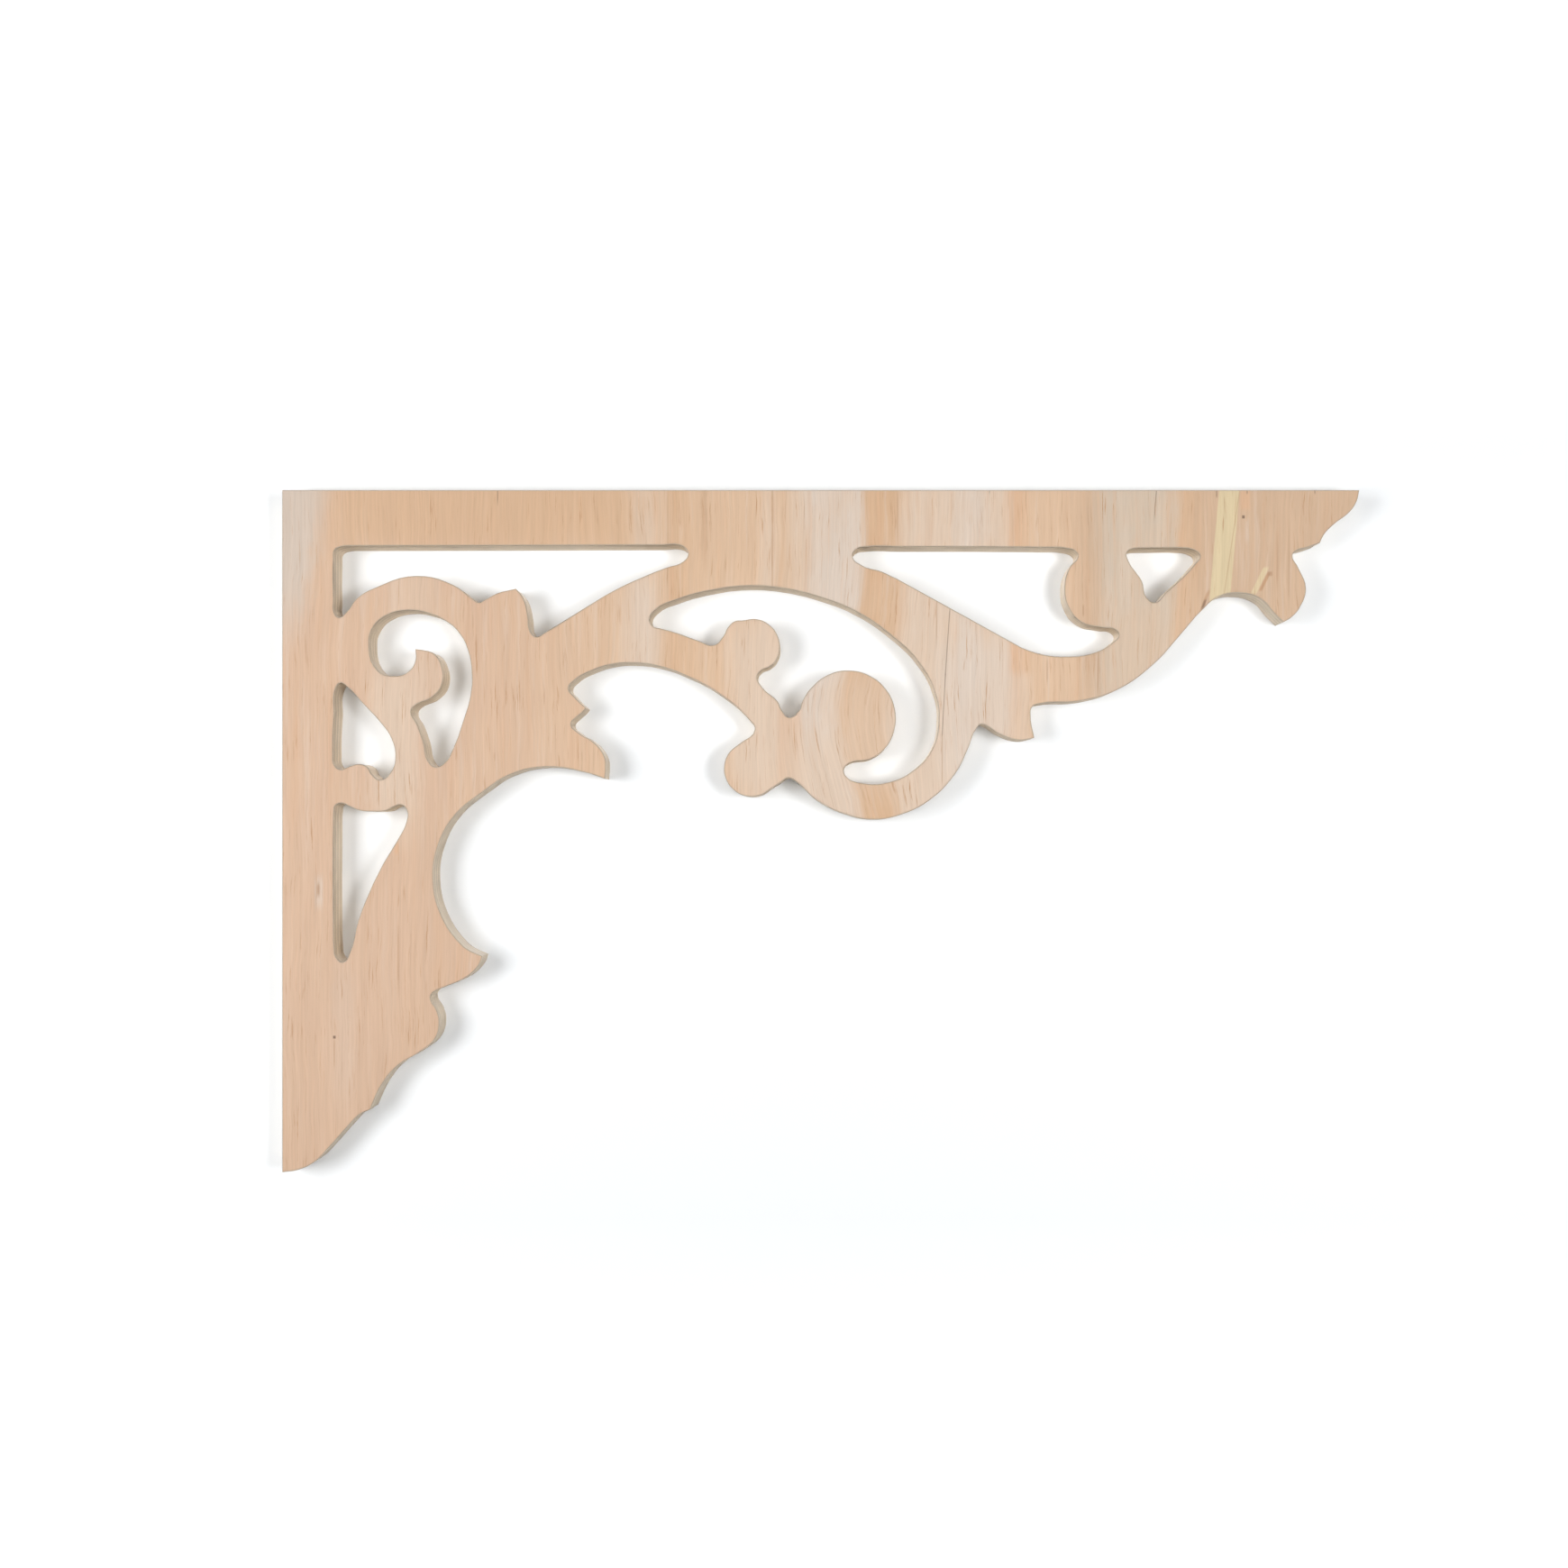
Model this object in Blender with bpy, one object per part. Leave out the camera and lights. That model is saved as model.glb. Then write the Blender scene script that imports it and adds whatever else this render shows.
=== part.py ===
"""Fretwork bracket, sawn from one board and fixed in the corner between a post and a beam.

Metres, +Z up. X runs along the beam away from the post and Y runs through the board.
The origin is the middle of the edge that is fixed under the beam.
"""

import math

import bmesh
import bpy
from mathutils.geometry import delaunay_2d_cdt

LENGTH = 0.600  # along the beam, from the post to the tip
DROP = 0.380  # down the post, from the beam to the foot
THICKNESS = 0.018  # of the board
RAIL_DEPTH = 0.031  # plain strip left along the beam, above the openings
STILE_WIDTH = 0.0287  # plain strip left along the post, beside the openings

CURVE_STEPS = 5  # straight cuts from one knot of a sawn line to the next

PINE = (0.60, 0.43, 0.29, 1.0)
PINE_ROUGHNESS = 0.62

# The scrollwork is a free form. It is drawn in thousandths of the field that the stile, the
# rail, the tip and the foot leave, so it stretches with them. A place below zero lies on the
# stile or the rail, in thousandths of that strip, and -1000 is the edge of the board.


def across(place):
    """Distance from the post of a place drawn across the fret, in thousandths."""
    if place < 0:
        return STILE_WIDTH * (1 + place / 1000)
    return STILE_WIDTH + (LENGTH - STILE_WIDTH) * place / 1000


def below(place):
    """Depth below the beam of a place drawn down the fret, in thousandths."""
    if place < 0:
        return RAIL_DEPTH * (1 + place / 1000)
    return RAIL_DEPTH + (DROP - RAIL_DEPTH) * place / 1000


def sharp(u, v):
    """A knot where the sawn line turns a corner."""
    return u, v, "VECTOR"


def bulge(centre, half_width, half_height, start, stop, spaces):
    """Knots round a ball, a bud or a hollow, between two angles in degrees from the tip's side."""
    knots = []
    for i in range(spaces + 1):
        angle = math.radians(start + (stop - start) * i / spaces)
        u = centre[0] + half_width * math.cos(angle)
        v = centre[1] - half_height * math.sin(angle)
        knots.append((u, v))
    return knots


# The openings, each from its upper left corner, along its top first


def long_opening():
    """The long opening under the rail, over the back of the hook."""
    rail_side = [(1, 7), (6, 2), (22, 0.5), (88, -6), (184, 0.5), (237, -11), (320.5, -12.5)]
    right_end = [(335.5, -19), (342.5, 3.5), (345.5, 13.5), (340, 26), (325, 34.5)]
    slope = [(307, 46), (272, 72.5), (237, 107), (207, 137.5)]
    thorn = [(197, 145), (191.5, 136), (189.5, 113), (185, 84), sharp(177.5, 68.5)]
    saddle = [(160, 75.5), (147.5, 86), (141.5, 90.5), (135, 84)]
    back_of_hook = [(117, 63), (81, 48), (42, 65.5), (22.5, 84)]
    stile_side = [(12, 106.5), (4.5, 114), (0.5, 106), (0, 85), (0, 21)]
    return rail_side + right_end + slope + thorn + saddle + back_of_hook + stile_side


def hook_opening():
    """The comma-shaped opening inside the hook."""
    crown = [(34.5, 153), (39.5, 127.5), (51, 111.5), (70, 103), (92, 107.5)]
    right_side = [(114, 125.5), (123, 141), (129.5, 160.5), (134.5, 200.5), (133.5, 236.5)]
    tail = [(126.5, 278.5), (116.5, 323)]
    foot = [(108.5, 346), (99, 353), (92, 343), (87.5, 313), (81.5, 285.5)]
    under_tongue = [(75.5, 264), (78.5, 256), (96.5, 241), (105.5, 222)]
    tongue = [(105, 190.5), (97.5, 172), (87.5, 166.5), sharp(79.5, 165)]
    inside_crown = [(79.5, 183.5), (73, 200.5), (59.5, 208), (43.5, 200)]
    return crown + right_side + tail + foot + under_tongue + tongue + inside_crown


def heart_opening():
    """The half heart beside the stile, under the hook."""
    peak = [(6.5, 219), (12, 223.5), (28, 251), (44.5, 280), (56, 307)]
    lobe = [(60, 337.5), (56, 360.5), (45.5, 373.5), (37.5, 365.5)]
    base = [(32.5, 353), (24.5, 348.5), (15, 352.5), (6, 357), (0.5, 349.5)]
    stile_side = [(-14, 330), (0.5, 265.5), (1.5, 229.5)]
    return peak + lobe + base + stile_side


def lower_opening():
    """The long tapering opening beside the stile, at the hollow's height."""
    top = [(0.5, 423.5), (2, 414), (8, 411), (15.5, 416), (25.5, 422.5), (41, 424), (51.5, 422.5)]
    right_ear = [(58, 417), (66.5, 414), (71.5, 423.5), (71, 439.5)]
    taper = [(62, 470.5), (47.5, 509.5), (33, 559), (23.5, 600.5), (16, 648)]
    stile_side = [(9, 664.5), (2.5, 657), (0.5, 639.5), (0, 611), (0, 445)]
    return top + right_ear + taper + stile_side


def scroll_opening():
    """The great opening that leaves the scroll's ball and the upper bud standing."""
    back = [(308, 117), (314.5, 101), (333.5, 86.5), (369, 70.5), (404, 64), (439, 68), (474, 82)]
    turn = [(509.5, 105), (544.5, 144), (571, 187), (586, 233.5), (590, 277), (583.5, 324.5)]
    tail = [(565.5, 358.5), (540, 378), (515.5, 379), (500.5, 369.5), (497.5, 357), (503, 347), (522.5, 341)]
    ball = bulge((501.5, 275.5), 46.5, 76.5, -40, 140, 7)
    notch = [(457, 248), (454, 262.5), (444, 274), (437.5, 264.5), (432.5, 248)]
    stem = [(418, 226.5), (413, 208.5), (417, 199), (425, 193)]
    bud = bulge((408, 161), 27, 44.5, -30, 110, 5)
    under_bud = [(391, 120.5), (384, 131), (380, 144), (370.5, 158.5)]
    stalk = [(355.5, 151.5), (329.5, 136.5), (319.5, 132.5), (311.5, 128.5)]
    return back + turn + tail + ball + notch + stem + bud + under_bud + stalk


def right_opening():
    """The wing-shaped opening under the rail, towards the tip."""
    left_end = [(506, 17), (509.5, 5.5), (520, 1.5)]
    rail_side = [(553.5, 1.5), (606, 1.5), (658.5, 2), (690, 2.5), (714, 4), (723.5, 9.5), (725.5, 17)]
    round_end = [(717.5, 34.5), (712.5, 64), (716, 97), (729, 122), (749, 130.5)]
    claw = [(761.5, 133.5), (765.5, 142.5), (759.5, 154.5), (742, 170.5)]
    slope = [(716, 177), (685, 171), (650, 145), (598, 99.5), (535.5, 42), (514.5, 31)]
    return left_end + rail_side + round_end + claw + slope


def wedge_opening():
    """The small three-cornered opening near the tip."""
    top = [(773.5, 10.5), (779, 5), (789.5, 3.5), (808, 3), (826, 3.5), (837.5, 6)]
    right_side = [(844.5, 15.5), (839.5, 29.5), (811, 75.5)]
    foot = [(800.5, 90.5), (792.5, 82), (788, 56.5), (775.5, 26)]
    return top + right_side + foot


# The outer line, from the tip round under the scrollwork to the foot, then up the post edge


def tip():
    """The beak at the end of the rail and the bud under it."""
    beak = [sharp(1000, -1000), (997.5, -802), (991, -616), (975, -382), (966, -212), sharp(961.5, -50)]
    notch = [(948.5, 3), (939, 7.5), (935, 15)]
    bud = [(940.5, 34.5), (948, 67), (943, 96), (934.5, 113.5), sharp(926, 122)]
    return beak + notch + bud


def under_the_tip():
    """From the tip's bud to the hanging thorn."""
    arch = [(916.5, 107), (904.5, 85.5), (885, 75.5), (862.5, 81.5), (846, 104)]
    sweep = [(823.5, 146.5), (799.5, 189), (764, 230), (729, 247.5), (687.5, 252.5)]
    thorn = [(681, 257.5), (679.5, 271), sharp(683, 306.5), (669, 310.5), (648, 299.5), (637.5, 288)]
    return arch + sweep + thorn


def under_the_scroll():
    """Round the outside of the scroll and the lower bud."""
    turn = [(631.5, 285), (626, 293.5), (619, 321.5), (606, 364), (581.5, 405.5), (553.5, 429)]
    belly = [(527, 437), (500.5, 429.5), (470, 405), (453, 379), (443.5, 370.5), (435.5, 378)]
    bud = bulge((407.5, 356), 27, 44.5, -45, -244, 7)
    return turn + belly + bud


def middle_arch():
    """The arch from the lower bud back to the leaf's lip."""
    arch = [(410.5, 293.5), (405, 277.5), (377.5, 238), (347.5, 210), (315, 191.5), (293, 187)]
    shoulder = [(272, 189), (252, 199), (234.5, 215), (229, 227.5), (234.5, 240.5), sharp(246, 259)]
    notch = [(243, 265), (237, 273.5), (231.5, 285), (238, 297.5)]
    lip = [(255, 315.5), (264.5, 338), (265.5, 355), sharp(264.5, 372)]
    return arch + shoulder + notch + lip


def hollow():
    """The round hollow under the leaf, down to its cusp."""
    under_lip = [(246, 362), (206.5, 353), (171, 366)]
    cusp = [(132, 645.5), sharp(145, 655)]
    return under_lip + bulge((190.5, 527.5), 93.5, 153.5, 119, 225, 5) + cusp


def foot():
    """The stepped profile from the cusp down to the foot of the stile."""
    leaf = [(142, 668), (129.5, 688.5), (107, 705), (96.5, 713.5)]
    knee = [(94.5, 721.5), (100.5, 741.5), (103, 759), (99, 786.5), (84, 808), (63, 829)]
    heel = [(47.5, 858.5), sharp(35.5, 900), (25.5, 907.5), (14, 926.5)]
    toe = [(-91, 960.5), (-371, 983.5), (-703, 996.5), sharp(-1000, 1000)]
    return leaf + knee + heel + toe


def outer_line():
    """The whole outer line, closed along the post edge and the beam edge."""
    sawn = tip() + under_the_tip() + under_the_scroll() + middle_arch() + hollow() + foot()
    return sawn + [sharp(-1000, -1000)]


def line_corners(knots):
    """The corners of one closed sawn line, smooth through its knots except at the sharp ones."""
    curve = bpy.data.curves.new("sawn_line", "CURVE")
    curve.dimensions = "2D"
    curve.fill_mode = "NONE"
    curve.resolution_u = CURVE_STEPS
    spline = curve.splines.new("BEZIER")
    spline.bezier_points.add(len(knots) - 1)
    spline.use_cyclic_u = True
    for point, knot in zip(spline.bezier_points, knots):
        u, v, *corner = knot
        point.co = (across(u), -below(v), 0)
        handle = corner[0] if corner else "AUTO"
        point.handle_left_type = handle
        point.handle_right_type = handle
    drawn = bpy.data.objects.new("sawn_line", curve)
    corners = [vertex.co.to_2d() for vertex in bpy.data.meshes.new_from_object(drawn).vertices]
    bpy.data.objects.remove(drawn)
    return corners


def pine():
    """Bare pine plywood, planed smooth and unvarnished."""
    material = bpy.data.materials.new("pine_plywood")
    material.use_nodes = True
    shader = material.node_tree.nodes["Principled BSDF"]
    shader.inputs["Base Color"].default_value = PINE
    shader.inputs["Roughness"].default_value = PINE_ROUGHNESS
    return material


def sawn_board():
    """The wood left between the outer line and the openings, given the board's thickness."""
    sawn_lines = (
        outer_line,
        long_opening,
        hook_opening,
        heart_opening,
        lower_opening,
        scroll_opening,
        right_opening,
        wedge_opening,
    )
    points = []
    rings = []
    for sawn_line in sawn_lines:
        corners = line_corners(sawn_line())
        rings.append(list(range(len(points), len(points) + len(corners))))
        points += corners
    without_openings = 2  # the kind of fill that leaves out what an inner ring goes round
    same_point = 1e-7
    filled = delaunay_2d_cdt(points, [], rings, without_openings, same_point)
    board = bmesh.new()
    corners = [board.verts.new((*place, -THICKNESS / 2)) for place in filled[0]]
    for triangle in filled[2]:
        board.faces.new([corners[i] for i in triangle])
    raised = bmesh.ops.extrude_face_region(board, geom=board.faces[:], use_keep_orig=True)
    upper = [item for item in raised["geom"] if isinstance(item, bmesh.types.BMVert)]
    bmesh.ops.translate(board, verts=upper, vec=(0, 0, THICKNESS))
    bmesh.ops.recalc_face_normals(board, faces=board.faces)
    return board


def fretwork_bracket():
    """The board, stood upright with its beam edge on top."""
    board = sawn_board()
    mesh = bpy.data.meshes.new("fretwork_bracket")
    board.to_mesh(mesh)
    board.free()
    mesh.materials.append(pine())
    bracket = bpy.data.objects.new("fretwork_bracket", mesh)
    bracket.location = (-LENGTH / 2, 0, 0)
    bracket.rotation_euler = (math.pi / 2, 0, 0)
    bpy.context.scene.collection.objects.link(bracket)
    return bracket


for old in list(bpy.data.objects):
    bpy.data.objects.remove(old)

fretwork_bracket()
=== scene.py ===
import math

import bmesh
import bpy
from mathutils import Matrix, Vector


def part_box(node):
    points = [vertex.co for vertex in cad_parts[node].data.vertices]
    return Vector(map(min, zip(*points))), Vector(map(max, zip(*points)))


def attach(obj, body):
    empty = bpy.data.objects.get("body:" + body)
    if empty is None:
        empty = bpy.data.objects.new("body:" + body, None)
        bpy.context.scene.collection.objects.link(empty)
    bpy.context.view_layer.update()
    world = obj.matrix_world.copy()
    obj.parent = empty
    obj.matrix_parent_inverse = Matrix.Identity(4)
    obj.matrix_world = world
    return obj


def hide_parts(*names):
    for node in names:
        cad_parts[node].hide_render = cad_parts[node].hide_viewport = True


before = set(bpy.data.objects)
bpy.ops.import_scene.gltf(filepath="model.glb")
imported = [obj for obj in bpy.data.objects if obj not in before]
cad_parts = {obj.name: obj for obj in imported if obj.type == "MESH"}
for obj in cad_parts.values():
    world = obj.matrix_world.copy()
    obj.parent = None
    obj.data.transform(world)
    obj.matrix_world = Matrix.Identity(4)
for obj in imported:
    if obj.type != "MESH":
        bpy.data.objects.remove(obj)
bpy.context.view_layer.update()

# The camera
# It looks straight at the board's face, square to it, from a little under a metre away. The board
# sits a little low and to the right in the picture, so the lens is shifted, not the camera turned.

CAMERA_PLACE = (0.0001, -0.967, -0.1883)
LENS = 39.49
SENSOR = 36.0
SHIFT_ACROSS = -0.02356
SHIFT_UP = 0.02816

lens = bpy.data.cameras.new("camera")
lens.lens = LENS
lens.sensor_width = SENSOR
lens.shift_x = SHIFT_ACROSS
lens.shift_y = SHIFT_UP
camera = bpy.data.objects.new("camera", lens)
camera.location = CAMERA_PLACE
camera.rotation_euler = (math.radians(90), 0, 0)
bpy.context.scene.collection.objects.link(camera)
bpy.context.scene.camera = camera

# The sawn board
# One sheet of pine plywood, sawn to its drawn line and through its openings, then rubbed over
# with fine paper so that no arris is left sharp. The saw shows the edges of the plies.

SAME_CORNER = 0.000001  # corners closer than this are one corner
SAME_RUN = 0.05  # runs of the saw that turn less than this are one run
SQUARE_ON = 0.99  # how squarely the front and the back look forwards and back
EASED = 0.985  # what looks less squarely than this is finished as sawn edge
ARRIS = 0.00035  # width taken off each arris
RIM = 0.0007  # strip of the face beside the arris that is tinted darker
PLIES = 7
GLUE_GROOVE = 0.00006  # depth of the groove that the saw leaves at a glue line
GLUE_WIDTH = 0.00022
ON_THE_CUT = 0.0000001  # corners closer to a cut than this are on it
TURNED_SHARP = math.radians(28)
FACE, SAWN_EDGE, BACK = range(3)  # the board's three finishes

board_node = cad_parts["fretwork_bracket"]
lowest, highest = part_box("fretwork_bracket")
board_length = highest.x - lowest.x
face_y = lowest.y
back_y = highest.y
ply = (back_y - face_y) / PLIES


def is_flat(face):
    """True for a face of the board's front or back, not of its sawn edge."""
    return abs(face.normal.y) > SQUARE_ON


def arrises(board):
    """The edges where the front or the back meets the sawn edge."""
    found = []
    for edge in board.edges:
        one, other = edge.link_faces
        if is_flat(one) != is_flat(other):
            found.append(edge)
    return found


def saw_grooves(board):
    """Cuts the sawn edge along each glue line and sinks the line a little."""
    for line in range(1, PLIES):
        middle = face_y + line * ply
        for offset in (-GLUE_WIDTH / 2, 0, GLUE_WIDTH / 2):
            cut = bmesh.ops.bisect_plane(
                board,
                geom=board.verts[:] + board.edges[:] + board.faces[:],
                dist=ON_THE_CUT,
                plane_co=(0, middle + offset, 0),
                plane_no=(0, 1, 0),
            )
            if offset == 0:
                sunk = [item for item in cut["geom_cut"] if isinstance(item, bmesh.types.BMVert)]
                board.normal_update()
                for corner in sunk:
                    corner.co -= corner.normal * GLUE_GROOVE


board = bmesh.new()
board.from_mesh(board_node.data)
bmesh.ops.remove_doubles(board, verts=board.verts, dist=SAME_CORNER)
bmesh.ops.dissolve_limit(board, angle_limit=SAME_RUN, verts=board.verts, edges=board.edges)
board.normal_update()
bmesh.ops.bevel(
    board,
    geom=arrises(board),
    offset=ARRIS,
    offset_type="OFFSET",
    segments=2,
    profile=0.5,
    affect="EDGES",
    clamp_overlap=False,
    material=-1,
)
board.normal_update()
saw_grooves(board)
board.normal_update()
end_grain = board.verts.layers.float.new("end_grain")
rim = board.verts.layers.float.new("rim")
for corner in board.verts:
    corner[end_grain] = abs(corner.normal.z)
    corner[rim] = 1.0
for side in (-1, 1):
    flat = [face for face in board.faces if face.normal.y * side > SQUARE_ON]
    bmesh.ops.inset_region(board, faces=flat, thickness=RIM, use_even_offset=False, use_boundary=True)
    for face in flat:
        for corner in face.verts:
            corner[rim] = 0.0
board.normal_update()
for face in board.faces:
    face.smooth = not is_flat(face)
    if abs(face.normal.y) < EASED:
        face.material_index = SAWN_EDGE
    else:
        face.material_index = FACE if face.normal.y < 0 else BACK
bmesh.ops.recalc_face_normals(board, faces=board.faces)
board_mesh = bpy.data.meshes.new("sawn_board")
board.to_mesh(board_mesh)
board.free()
board_mesh.set_sharp_from_angle(angle=TURNED_SHARP)
sawn_board = bpy.data.objects.new("sawn_board", board_mesh)
bpy.context.scene.collection.objects.link(sawn_board)

# The pine's figure
# The face is one rotary-cut veneer of pine, its grain upright. Its figure is made of broad bands
# of cream and salmon wood, fine streaks, and the patch that the mill let in for a knot.

CREAM = (0.645, 0.535, 0.445, 1)
PALE = (0.655, 0.505, 0.385, 1)
TAN = (0.645, 0.445, 0.295, 1)
SALMON = (0.600, 0.388, 0.235, 1)
ORANGE = (0.640, 0.390, 0.235, 1)
PINK = (0.605, 0.408, 0.280, 1)
HONEY = (0.562, 0.384, 0.252, 1)
DUN = (0.570, 0.458, 0.352, 1)
SAPWOOD = (0.572, 0.476, 0.396, 1)
YELLOW = (0.640, 0.515, 0.315, 1)
STREAK = (0.400, 0.225, 0.120, 1)
RESIN = (0.460, 0.258, 0.135, 1)
SPLIT = (0.130, 0.075, 0.045, 1)
FACE_RIM_DARK = (0.400, 0.305, 0.230, 1)


def fill(tree, made, inputs):
    """Gives each named input of a node a value or another node's socket."""
    for name, value in inputs.items():
        if isinstance(value, bpy.types.NodeSocket):
            tree.links.new(value, made.inputs[name])
        else:
            made.inputs[name].default_value = value


def node(tree, kind, inputs, **settings):
    """A node with its settings and its inputs."""
    made = tree.nodes.new("ShaderNode" + kind)
    for name, value in settings.items():
        setattr(made, name, value)
    fill(tree, made, inputs)
    return made


def maths(tree, operation, *values):
    """The outcome of one sum."""
    return node(tree, "Math", dict(enumerate(values)), operation=operation).outputs[0]


def between(tree, value, start, stop, first, last, **settings):
    """A value that goes from first to last while another goes from start to stop."""
    limits = {0: value, 1: start, 2: stop, 3: first, 4: last}
    return node(tree, "MapRange", limits, **settings).outputs[0]


def blend(tree, factor, under, over):
    """One colour laid over another."""
    both = {"Factor": factor, 6: under, 7: over}
    return node(tree, "Mix", both, data_type="RGBA").outputs[2]


def darken(tree, colour, tone):
    """A colour made darker or lighter by a tone about 1."""
    return node(tree, "VectorMath", {0: colour, "Scale": tone}, operation="SCALE").outputs[0]


def effect(name, inputs, output):
    """A shader node group: its tree, its inputs' sockets and its output's socket."""
    tree = bpy.data.node_groups.new(name, "ShaderNodeTree")
    for socket in inputs:
        kind = "NodeSocketVector" if socket == "Place" else "NodeSocketFloat"
        tree.interface.new_socket(socket, in_out="INPUT", socket_type=kind)
    kind = "NodeSocketVector" if output == "Place" else "NodeSocketFloat"
    tree.interface.new_socket(output, in_out="OUTPUT", socket_type=kind)
    given = tree.nodes.new("NodeGroupInput").outputs
    out = tree.nodes.new("NodeGroupOutput").inputs[0]
    return tree, given, out


def use(tree, name, inputs):
    """Places an effect in a tree and gives its output."""
    made = tree.nodes.new("ShaderNodeGroup")
    made.node_tree = bpy.data.node_groups[name]
    fill(tree, made, inputs)
    return made.outputs[0]


# How the grain runs and bends
LINE_DETAIL = 4.0
LINE_ROUGHNESS = 0.6
SLOW_WAVE = (0.090, 0.160, 3.0)  # metres across the grain, metres along it, and a seed
QUICK_WAVE = (0.006, 0.018, 5.0)
QUICK_BEND = 0.0007
SWING_REACH = (0.040, 0.045)  # how far across and along a swing of the grain is felt


def grain_lines():
    """Noise drawn out along the grain, from about -1 to 1."""
    tree, given, out = effect("grain_lines", ["Place", "Across", "Along", "Seed"], "Value")
    place = node(tree, "SeparateXYZ", {0: given["Place"]}).outputs
    across = maths(tree, "DIVIDE", place["X"], given["Across"])
    along = maths(tree, "DIVIDE", place["Z"], given["Along"])
    drawn = node(tree, "CombineXYZ", {0: across, 1: given["Seed"], 2: along}).outputs[0]
    looks = {"Vector": drawn, "Scale": 1.0, "Detail": LINE_DETAIL, "Roughness": LINE_ROUGHNESS}
    noise = node(tree, "TexNoise", looks).outputs["Fac"]
    tree.links.new(maths(tree, "MULTIPLY_ADD", noise, 2.0, -1.0), out)


def lines(tree, place, across, along, seed):
    """The grain at one scale, in metres across it and along it."""
    sizes = {"Place": place, "Across": across, "Along": along, "Seed": seed}
    return use(tree, "grain_lines", sizes)


def grain_place():
    """Places on the board, moved sideways so that straight lines bend as the grain does."""
    inputs = ["Bend", "Swing", "Swing Across", "Swing Down"]
    tree, given, out = effect("grain_place", inputs, "Place")
    here = node(tree, "TexCoord", {}).outputs["Object"]
    place = node(tree, "SeparateXYZ", {0: here}).outputs
    slow = lines(tree, here, *SLOW_WAVE)
    quick = lines(tree, here, *QUICK_WAVE)
    across = maths(tree, "SUBTRACT", place["X"], given["Swing Across"])
    down = maths(tree, "ADD", place["Z"], given["Swing Down"])
    squares = []
    for distance, reach in zip((across, down), SWING_REACH):
        squares.append(maths(tree, "POWER", maths(tree, "DIVIDE", distance, reach), 2.0))
    far = maths(tree, "ADD", *squares)
    near = maths(tree, "EXPONENT", maths(tree, "MULTIPLY", far, -1.0))
    moved = maths(tree, "MULTIPLY_ADD", slow, given["Bend"], place["X"])
    moved = maths(tree, "MULTIPLY_ADD", quick, QUICK_BEND, moved)
    moved = maths(tree, "MULTIPLY_ADD", near, given["Swing"], moved)
    bent = node(tree, "CombineXYZ", {0: moved, 1: place["Y"], 2: place["Z"]}).outputs[0]
    tree.links.new(bent, out)


def grain_band():
    """A band of the veneer: a mask for a strip that leans, with soft or ragged sides."""
    strip = ["Centre", "Lean", "Half Width", "Soft", "Ragged", "Top", "Bottom", "Soft Ends", "Strength"]
    tree, given, out = effect("grain_band", ["Place", "Wobble"] + strip, "Mask")

    def soft_step(value, limit, soft, first, last):
        """Goes gently from first to last where the value passes the limit."""
        start = maths(tree, "SUBTRACT", limit, soft)
        stop = maths(tree, "ADD", limit, soft)
        return between(tree, value, start, stop, first, last, interpolation_type="SMOOTHSTEP")

    place = node(tree, "SeparateXYZ", {0: given["Place"]}).outputs
    from_post = maths(tree, "SUBTRACT", place["X"], lowest.x)
    depth = maths(tree, "SUBTRACT", highest.z, place["Z"])
    middle = maths(tree, "MULTIPLY_ADD", given["Lean"], depth, given["Centre"])
    off = maths(tree, "ABSOLUTE", maths(tree, "SUBTRACT", from_post, middle))
    off = maths(tree, "MULTIPLY_ADD", given["Wobble"], given["Ragged"], off)
    side = soft_step(off, given["Half Width"], given["Soft"], 1.0, 0.0)
    begun = soft_step(depth, given["Top"], given["Soft Ends"], 0.0, 1.0)
    going = soft_step(depth, given["Bottom"], given["Soft Ends"], 1.0, 0.0)
    length = maths(tree, "MULTIPLY", begun, going)
    mask = maths(tree, "MULTIPLY", maths(tree, "MULTIPLY", side, length), given["Strength"])
    tree.links.new(mask, out)


grain_lines()
grain_place()
grain_band()

# Broad bands of the face, each from its distance to the post edge in millimetres
FACE_BANDS = (
    (0, PINK), (110, PINK), (188, TAN), (202, PALE), (218, SALMON), (236, TAN),
    (264, TAN), (269, PALE), (276, TAN), (289, PALE), (296, CREAM), (321, CREAM),
    (327, SALMON), (341, SALMON), (348, PALE), (372, PALE), (379, CREAM), (388, CREAM),
    (395, PALE), (402, PALE), (408, ORANGE), (418, TAN), (440, TAN), (450, HONEY),
    (462, DUN), (494, DUN), (501, SALMON), (515, HONEY), (600, HONEY),
)
BACK_BANDS = (
    (0, DUN), (90, HONEY), (170, PALE), (260, DUN),
    (330, CREAM), (410, DUN), (520, PALE), (600, HONEY),
)

# Bands and marks of the face that don't run its full height
SOFT_SHARE = 0.6  # share of a mark's half width over which its sides fade
SOFT_END_SHARE = 0.25  # share of its length over which its ends fade


def mark(tint, strength, centre, half_width, top, bottom, lean=0.0, soft=None, ragged=0.0, soft_ends=None):
    """A tint and its strip. Distances are in millimetres, from the post and below the beam."""
    if soft is None:
        soft = half_width * SOFT_SHARE
    if soft_ends is None:
        soft_ends = (bottom - top) * SOFT_END_SHARE
    strip = {
        "Strength": strength,
        "Centre": centre / 1000,
        "Lean": lean,
        "Half Width": half_width / 1000,
        "Soft": soft / 1000,
        "Ragged": ragged / 1000,
        "Top": top / 1000,
        "Bottom": bottom / 1000,
        "Soft Ends": soft_ends / 1000,
    }
    return tint, strip


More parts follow.
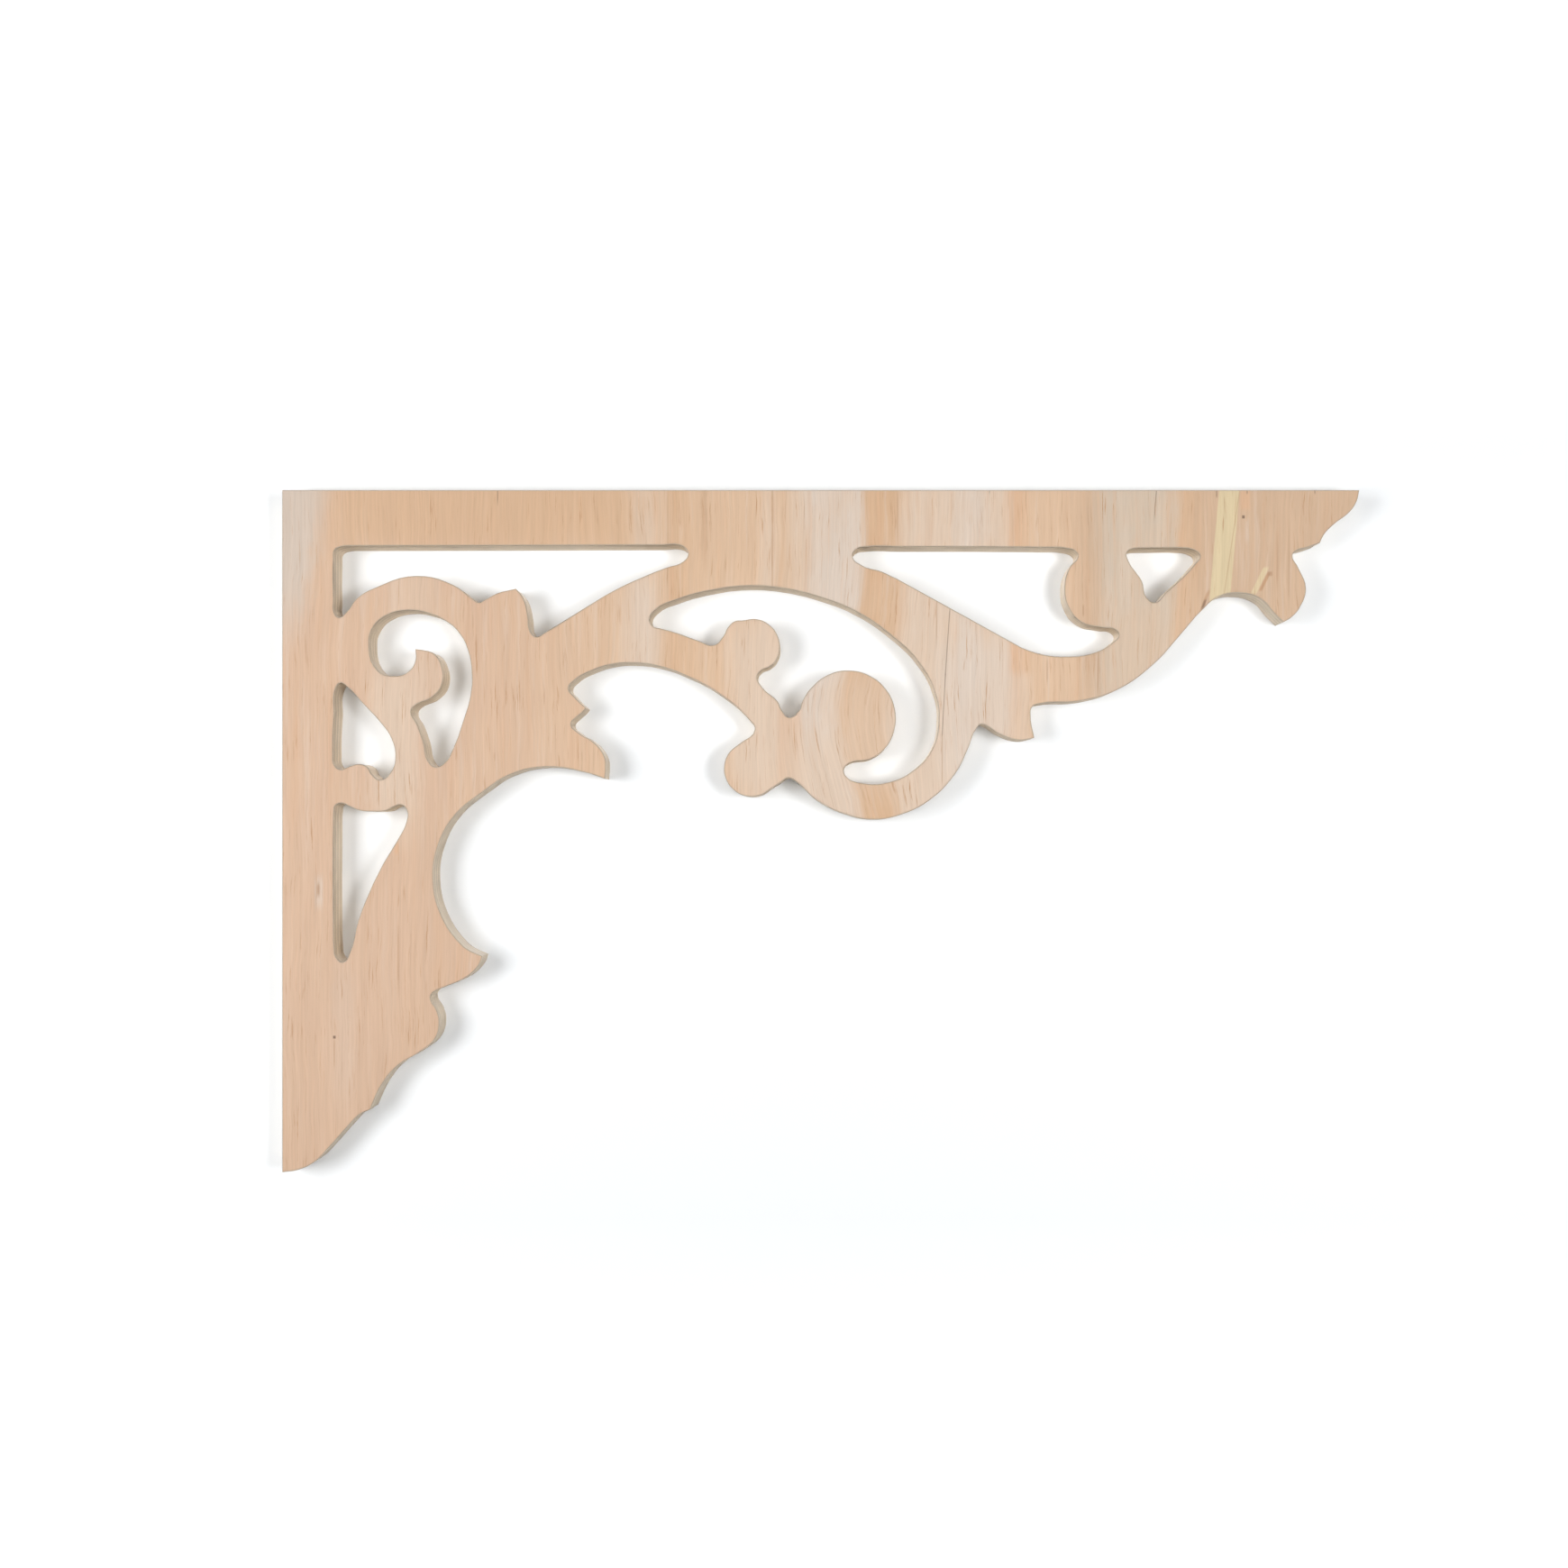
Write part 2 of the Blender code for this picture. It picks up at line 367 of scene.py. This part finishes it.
FACE_MARKS = (
    mark(SAPWOOD, 0.90, 0, 25, -40, 74, lean=-0.19, soft=8, ragged=8, soft_ends=30),
    mark(SALMON, 0.80, 112, 84, -40, 34, soft=16, ragged=8, soft_ends=14),
    mark(PINK, 0.60, 20, 70, 190, 420, soft=25, ragged=10, soft_ends=40),
    mark(CREAM, 0.22, 34.5, 6, 262, 340, soft=5, ragged=4),
    mark(CREAM, 0.35, 198, 9, 50, 110, soft=6, ragged=5),
    mark(PALE, 0.85, 62, 13, 95, 188, soft=8, ragged=5),
    mark(PALE, 0.40, 74, 13, 44, 74, soft=7, ragged=4),
    mark(PALE, 0.40, 80, 9, 86, 128, soft=6, ragged=4),
    mark(TAN, 0.35, 484, 22, 70, 150, soft=8, ragged=5),
    mark(PALE, 0.60, 410, 7, 102, 150, soft=4, ragged=3, soft_ends=4),
    mark(PALE, 0.90, 268, 18, 70, 175, soft=8, ragged=5),
    mark(ORANGE, 0.40, 283, 7, 118, 165, soft=2.5, ragged=2),
    mark(PALE, 0.45, 329, 18, 100, 165, soft=9, ragged=6),
    mark(PALE, 0.80, 298, 16, 140, 195, soft=8, ragged=5),
    mark(PALE, 0.75, 360, 12, 130, 190, soft=8, ragged=5),
    mark(CREAM, 0.60, 386, 20, 86, 160, soft=5, ragged=4, soft_ends=10),
    mark(STREAK, 0.30, 235, 1.6, -20, 38, ragged=2.5),
    mark(STREAK, 0.28, 214.8, 0.5, 2, 48),
    mark(STREAK, 0.45, 273, 0.45, -10, 58, ragged=0.8),
    mark(STREAK, 0.40, 342.8, 0.4, 2, 28),
    mark(STREAK, 0.45, 364.5, 0.35, 58, 84),
    mark(STREAK, 0.55, 456.5, 0.4, 88, 113, lean=-0.02),
    mark(STREAK, 0.50, 446.2, 0.45, 64, 70),
    mark(STREAK, 0.45, 426.1, 0.4, 94, 107),
    mark(STREAK, 0.40, 64.7, 0.6, 243, 276),
    mark(ORANGE, 0.80, 63.7, 1.2, 196, 203),
    mark(YELLOW, 1.0, 527.6, 5.7, -40, 64, lean=-0.088, soft=0.3, ragged=0.4, soft_ends=1),
    mark(STREAK, 0.40, 533.4, 0.3, -20, 60, lean=-0.151, soft_ends=3),
    mark(ORANGE, 0.70, 536.3, 2.6, 0, 11, soft=1.2, ragged=1, soft_ends=2),
    mark(CREAM, 0.35, 537.6, 1.0, 16, 29, ragged=0.8),
    mark(YELLOW, 0.85, 569.0, 1.6, 43, 58, lean=-0.485, soft=0.4, soft_ends=1),
    mark(RESIN, 0.85, 570.6, 0.9, 46, 56, lean=-0.457, soft=0.4, ragged=0.4, soft_ends=1),
    mark(STREAK, 0.60, 550.3, 1.2, 45.4, 47.8, soft=0.5, soft_ends=0.6),
    mark(RESIN, 0.70, 536.3, 0.9, 56, 70, lean=-0.36, soft=0.5, ragged=0.5, soft_ends=2),
    mark(SPLIT, 0.60, 536.3, 0.7, 61, 66, lean=-0.36, soft=0.4, soft_ends=1),
    mark(STREAK, 0.35, 554.3, 0.5, 26, 52),
    mark(STREAK, 0.30, 560.8, 0.5, 22, 60),
    mark(CREAM, 0.60, 20.4, 2.2, 216, 232, soft=0.8),
    mark(STREAK, 0.70, 20.2, 0.75, 219, 226, soft_ends=2.5),
    mark(STREAK, 0.35, 19.0, 0.3, 214, 231),
    mark(STREAK, 0.45, 29.0, 0.4, 306, 321),
    mark(SPLIT, 0.50, 376.4, 0.30, 66, 103, lean=-0.068, soft=0.15, ragged=0.15, soft_ends=2),
    mark(SPLIT, 0.50, 375.1, 0.30, 102, 137, lean=-0.055, soft=0.15, ragged=0.15, soft_ends=1),
    mark(STREAK, 0.50, 367.6, 0.30, 136, 164, soft=0.15, ragged=0.20, soft_ends=3),
    mark(SPLIT, 0.60, 120.0, 0.25, -5, 7, soft=0.12),
    mark(SPLIT, 0.50, 394.0, 0.25, -5, 2, soft=0.12),
    mark(SPLIT, 0.55, 487.0, 0.25, -5, 15, lean=-0.08, soft=0.12),
    mark(SPLIT, 0.60, 520.5, 0.28, -5, 4, soft=0.12, soft_ends=1),
    mark(SPLIT, 0.60, 537.5, 0.28, -5, 2, soft=0.12, soft_ends=1),
    mark(SPLIT, 0.60, 575.2, 0.28, -5, 2, soft=0.12, soft_ends=1),
    mark(SPLIT, 0.80, 535.4, 0.75, 14.1, 15.8, soft=0.3, soft_ends=0.3),
    mark(SPLIT, 0.80, 29.1, 0.75, 303.9, 305.5, soft=0.3, soft_ends=0.3),
)

# The veneer's own grain, from its broad waves to its hair lines
GRAIN = {  # metres across the grain, metres along it, and a seed
    "wander": (0.0120, 0.070, 16.0),
    "feather": (0.0018, 0.050, 17.0),
    "broad": (0.0140, 0.300, 11.0),
    "middling": (0.0050, 0.110, 12.0),
    "fine": (0.0016, 0.060, 13.0),
    "hair": (0.0008, 0.036, 14.0),
    "flecks": (0.0010, 0.026, 15.0),
    "wobble": (0.0040, 0.012, 16.0),
    "patches": (0.0260, 0.055, 18.0),
    "clusters": (0.0110, 0.045, 19.0),
}
WANDER = 0.006  # how far the bands stray from straight
FEATHER = 0.004  # how far the streaks carry one band into the next
WASHES = (  # the grain, from one value to another, takes a tint from one strength to another
    ("patches", -0.10, 0.40, 0.0, 0.50, TAN),
    ("middling", 0.05, 0.45, 0.0, 0.50, ORANGE),
    ("middling", -0.45, -0.08, 0.40, 0.0, CREAM),
)
LIVELY = (-0.20, 0.25, 0.15, 1.0)  # where the resin dashes cluster
DASHES = (0.15, 0.34, 0.0, 1.0)
TONES = {"broad": 0.05, "middling": -0.05, "fine": 0.13, "hair": 0.12}
FACE_RIM_FALL = 1.6
FACE_RIM_STRENGTH = 0.55
FACE_ROUGHNESS = 0.60
ROUGHNESS_CHANGE = 0.08
GRAIN_RELIEF = 0.00005
SWING_MIDDLE = {"Swing Across": 0.012, "Swing Down": 0.125}


def veneer(name, bands, marks, bend, swing):
    """The finish of one side of the board."""
    material = bpy.data.materials.new(name)
    material.use_nodes = True
    tree = material.node_tree
    shader = tree.nodes["Principled BSDF"]
    place = use(tree, "grain_place", {"Bend": bend, "Swing": swing, **SWING_MIDDLE})
    straight = node(tree, "TexCoord", {}).outputs["Object"]
    grain = {layer: lines(tree, place, *sizes) for layer, sizes in GRAIN.items()}

    across = node(tree, "SeparateXYZ", {0: place}).outputs["X"]
    across = maths(tree, "MULTIPLY_ADD", grain["wander"], WANDER, across)
    across = maths(tree, "MULTIPLY_ADD", grain["feather"], FEATHER, across)
    share = maths(tree, "DIVIDE", maths(tree, "SUBTRACT", across, lowest.x), board_length)
    ramp = node(tree, "ValToRGB", {"Fac": share})
    steps = ramp.color_ramp.elements
    for distance, tint in bands[1:-1]:
        steps.new(distance / 1000 / board_length).color = tint
    steps[0].color = bands[0][1]
    steps[-1].color = bands[-1][1]

    colour = ramp.outputs["Color"]
    for layer, start, stop, first, last, tint in WASHES:
        wash = between(tree, grain[layer], start, stop, first, last)
        colour = blend(tree, wash, colour, tint)
    for tint, strip in marks:
        mask = use(tree, "grain_band", {"Place": straight, "Wobble": grain["wobble"], **strip})
        colour = blend(tree, mask, colour, tint)
    lively = between(tree, grain["clusters"], *LIVELY)
    dashes = maths(tree, "MULTIPLY", between(tree, grain["flecks"], *DASHES), lively)
    colour = blend(tree, dashes, colour, RESIN)
    tone = 1.0
    for layer, weight in TONES.items():
        tone = maths(tree, "MULTIPLY_ADD", grain[layer], weight, tone)
    colour = darken(tree, colour, tone)
    # The face is tinted darker in a strip along each arris.
    near_arris = node(tree, "Attribute", {}, attribute_name="rim").outputs["Fac"]
    face_rim_darkness = maths(tree, "POWER", near_arris, FACE_RIM_FALL)
    face_rim_darkness = maths(tree, "MULTIPLY", face_rim_darkness, FACE_RIM_STRENGTH)
    colour = blend(tree, face_rim_darkness, colour, FACE_RIM_DARK)

    roughness = maths(tree, "MULTIPLY_ADD", grain["middling"], ROUGHNESS_CHANGE, FACE_ROUGHNESS)
    height = maths(tree, "SUBTRACT", grain["fine"], dashes)
    bump = node(tree, "Bump", {"Height": height, "Distance": GRAIN_RELIEF, "Strength": 0.6})
    fill(tree, shader, {"Base Color": colour, "Roughness": roughness, "Normal": bump.outputs[0]})
    return material


# The sawn edge
# The saw lays the seven plies bare, glued with their grain crossed, so that one ply shows its
# side grain where the next shows its end grain. The glue lines between them are darker.

SIDE_GRAIN = (0.770, 0.650, 0.505, 1)
END_GRAIN = (0.640, 0.530, 0.405, 1)
GLUE = (0.360, 0.290, 0.220, 1)
EDGE_RIM_DARK = (0.360, 0.290, 0.220, 1)
CLOUDS = {"Scale": 90.0, "Detail": 4.0}
PORES = {"Scale": 1400.0, "Detail": 2.0}
CLOUD_TONE = 0.30
PORE_TONE = 0.24
DARKEST_TONE = 0.73
GLUE_LINE = (0.03, 0.075, 0.55, 0.0)  # from its middle to its rim in plies, and how dark
EDGE_RIM_DARKENING = (3.20, 3.50, 0.0, 0.60)  # from the board's middle in plies, and how dark
EDGE_ROUGHNESS = 0.85
SAW_MARKS = 0.0007  # from one stroke of the saw to the next
SAW_RUN = 30.0  # marks to the metre through the board, so that each runs nearly straight
SAW_RELIEF = 0.00012


def sawn_edge():
    """The finish of the edge, ply by ply."""
    material = bpy.data.materials.new("sawn_edge")
    material.use_nodes = True
    tree = material.node_tree
    shader = tree.nodes["Principled BSDF"]
    here = node(tree, "TexCoord", {}).outputs["Object"]
    through = node(tree, "SeparateXYZ", {0: here}).outputs["Y"]
    count = maths(tree, "DIVIDE", maths(tree, "SUBTRACT", through, face_y), ply)
    crossed = maths(tree, "MODULO", maths(tree, "FLOOR", count), 2.0)
    turned = node(tree, "Attribute", {}, attribute_name="end_grain").outputs["Fac"]
    ends = maths(tree, "ABSOLUTE", maths(tree, "SUBTRACT", turned, crossed))
    colour = blend(tree, ends, SIDE_GRAIN, END_GRAIN)
    clouds = node(tree, "TexNoise", {"Vector": here, **CLOUDS}).outputs["Fac"]
    pores = node(tree, "TexNoise", {"Vector": here, **PORES}).outputs["Fac"]
    tone = maths(tree, "MULTIPLY_ADD", clouds, CLOUD_TONE, DARKEST_TONE)
    tone = maths(tree, "MULTIPLY_ADD", pores, PORE_TONE, tone)
    colour = darken(tree, colour, tone)
    line = between(tree, maths(tree, "PINGPONG", count, 0.5), *GLUE_LINE)
    colour = blend(tree, line, colour, GLUE)
    # The sawn edge is tinted darker along its two rims, beside the front and the back.
    outermost = maths(tree, "ABSOLUTE", maths(tree, "SUBTRACT", count, PLIES / 2))
    edge_rim_darkness = between(tree, outermost, *EDGE_RIM_DARKENING)
    colour = blend(tree, edge_rim_darkness, colour, EDGE_RIM_DARK)

    strokes = (1 / SAW_MARKS, SAW_RUN, 1 / SAW_MARKS)
    sawn = node(tree, "Mapping", {"Vector": here, "Scale": strokes}).outputs[0]
    saw = node(tree, "TexNoise", {"Vector": sawn, "Scale": 1.0, "Detail": 2.0}).outputs["Fac"]
    height = maths(tree, "ADD", saw, maths(tree, "MULTIPLY", pores, 0.5))
    bump = node(tree, "Bump", {"Height": height, "Distance": SAW_RELIEF, "Strength": 0.8})
    fill(tree, shader, {"Base Color": colour, "Roughness": EDGE_ROUGHNESS, "Normal": bump.outputs[0]})
    return material


# The board takes its finishes in the order of FACE, SAWN_EDGE and BACK
board_mesh.materials.append(veneer("face_veneer", FACE_BANDS, FACE_MARKS, bend=0.006, swing=0.014))
board_mesh.materials.append(sawn_edge())
board_mesh.materials.append(veneer("back_veneer", BACK_BANDS, (), bend=0.014, swing=0.0))

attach(sawn_board, "root")
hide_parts("fretwork_bracket")

# The backdrop and the floor
# A white sheet hangs close behind the board and takes its soft shadow, with a pale floor far
# below. Seen from behind, the sheet isn't there, and it lets the rear lamp through.

SHEET_Y = back_y + 0.0003
SHEET_WHITE = (0.910, 0.930, 0.945, 1)
FALLEN = (0.22, 0.42, 0.0, 0.22)  # glow, by height from the board's middle, where the lamps fall away
POST_EDGE_PAINTED_LIGHT = (lowest.x + 0.010, lowest.x - 0.008, 0.0, 0.06)  # painted light: a glow that starts at the post edge and lightens the board's soft shadow beside it
FLOOR_DROP = -0.65
FLOOR_GREY = (0.20, 0.20, 0.20, 1)
FLOOR_GLOW = (1, 1, 0.99, 1)
FLOOR_GLOW_STRENGTH = 0.62
FLOOR_UNSEEN = (0.05, 0.05, 0.05, 1)  # so that it throws no light up on the board
STAGE_SIZE = 8.0


def stage_plane(name, place, turn):
    """A flat square of the stage."""
    plane = bmesh.new()
    bmesh.ops.create_grid(plane, x_segments=1, y_segments=1, size=STAGE_SIZE / 2)
    mesh = bpy.data.meshes.new(name)
    plane.to_mesh(mesh)
    plane.free()
    thing = bpy.data.objects.new(name, mesh)
    thing.location = place
    thing.rotation_euler = turn
    bpy.context.scene.collection.objects.link(thing)
    return thing


backdrop = stage_plane("backdrop", (0, SHEET_Y, 0), (math.radians(90), 0, 0))
floor = stage_plane("floor", (0, 0, FLOOR_DROP), (0, 0, 0))

white = bpy.data.materials.new("backdrop_white")
white.use_nodes = True
tree = white.node_tree
tree.nodes.clear()
path = node(tree, "LightPath", {}).outputs
place = node(tree, "SeparateXYZ", {0: node(tree, "TexCoord", {}).outputs["Object"]}).outputs
away = maths(tree, "ABSOLUTE", maths(tree, "SUBTRACT", place["Y"], (lowest.z + highest.z) / 2))
# The sheet glows for the camera alone, to stay white where the lamps fall away; beside the post edge this
# glow is painted light that lightens the board's soft shadow.
glow = maths(tree, "ADD", between(tree, away, *FALLEN), between(tree, place["X"], *POST_EDGE_PAINTED_LIGHT))
glow = maths(tree, "MULTIPLY", glow, path["Is Camera Ray"])
glowing = node(tree, "Emission", {"Color": (1, 1, 1, 1), "Strength": glow}).outputs[0]
diffuse = node(tree, "BsdfDiffuse", {"Color": SHEET_WHITE}).outputs[0]
sheet = node(tree, "AddShader", {0: diffuse, 1: glowing}).outputs[0]
clear = node(tree, "BsdfTransparent", {}).outputs[0]
behind = node(tree, "NewGeometry", {}).outputs["Backfacing"]
let_through = maths(tree, "MAXIMUM", behind, path["Is Shadow Ray"])
mix = node(tree, "MixShader", {0: let_through, 1: sheet, 2: clear}).outputs[0]
node(tree, "OutputMaterial", {"Surface": mix})
backdrop.data.materials.append(white)

pale = bpy.data.materials.new("floor_pale")
pale.use_nodes = True
tree = pale.node_tree
shader = tree.nodes["Principled BSDF"]
shader.inputs["Base Color"].default_value = FLOOR_GREY
shader.inputs["Roughness"].default_value = 0.9
shader.inputs["Emission Color"].default_value = FLOOR_GLOW
shader.inputs["Emission Strength"].default_value = FLOOR_GLOW_STRENGTH
unseen = node(tree, "BsdfDiffuse", {"Color": FLOOR_UNSEEN}).outputs[0]
seen = node(tree, "LightPath", {}).outputs["Is Camera Ray"]
mix = node(tree, "MixShader", {0: seen, 1: unseen, 2: shader.outputs[0]}).outputs[0]
tree.links.new(mix, tree.nodes["Material Output"].inputs["Surface"])
floor.data.materials.append(pale)

# The light
# A broad soft lamp stands to each side, the left one the stronger, each lighting its own half of
# the board most, with a small one in front. A last one behind shows the back in the rear views.

LAMPS_Y = -1.2
REAR_AIM = (0.1, -2.0, -0.3)
REAR_SOFTNESS = 0.2
REAR_ENERGY = 1.5
ROOM_LIGHT = 0.02
ROOM_SEEN = 0.95  # how bright the room looks to the camera
ROOM_WHITE = (1, 1, 1, 1)


def soft_lamp(name, energy, x, z, width, height):
    """A lamp in front of the board and facing it squarely, unseen itself."""
    light = bpy.data.lights.new(name, "AREA")
    light.energy = energy
    light.shape = "RECTANGLE"
    light.size = width
    light.size_y = height
    thing = bpy.data.objects.new(name, light)
    thing.location = (x, LAMPS_Y, z)
    thing.rotation_euler = (math.radians(90), 0, 0)
    thing.visible_camera = False
    bpy.context.scene.collection.objects.link(thing)


soft_lamp("left_light", energy=21.8, x=-1.20, z=-0.13, width=1.0, height=0.8)
soft_lamp("right_light", energy=12.6, x=0.76, z=-0.21, width=0.45, height=0.5)
soft_lamp("front_light", energy=3.6, x=0.0, z=-0.15, width=0.35, height=0.35)

rear = bpy.data.lights.new("rear_light", "SUN")
rear.energy = REAR_ENERGY
rear.angle = REAR_SOFTNESS
rear_light = bpy.data.objects.new("rear_light", rear)
rear_light.rotation_euler = Vector(REAR_AIM).to_track_quat("-Z", "Y").to_euler()
bpy.context.scene.collection.objects.link(rear_light)

world = bpy.data.worlds.new("studio")
bpy.context.scene.world = world
world.use_nodes = True
tree = world.node_tree
lit = tree.nodes["Background"]
lit.inputs["Color"].default_value = ROOM_WHITE
lit.inputs["Strength"].default_value = ROOM_LIGHT
looked_at = node(tree, "Background", {"Color": ROOM_WHITE, "Strength": ROOM_SEEN}).outputs[0]
seen = node(tree, "LightPath", {}).outputs["Is Camera Ray"]
mix = node(tree, "MixShader", {0: seen, 1: lit.outputs[0], 2: looked_at}).outputs[0]
tree.links.new(mix, tree.nodes["World Output"].inputs["Surface"])
bpy.context.scene.view_settings.view_transform = "Standard"
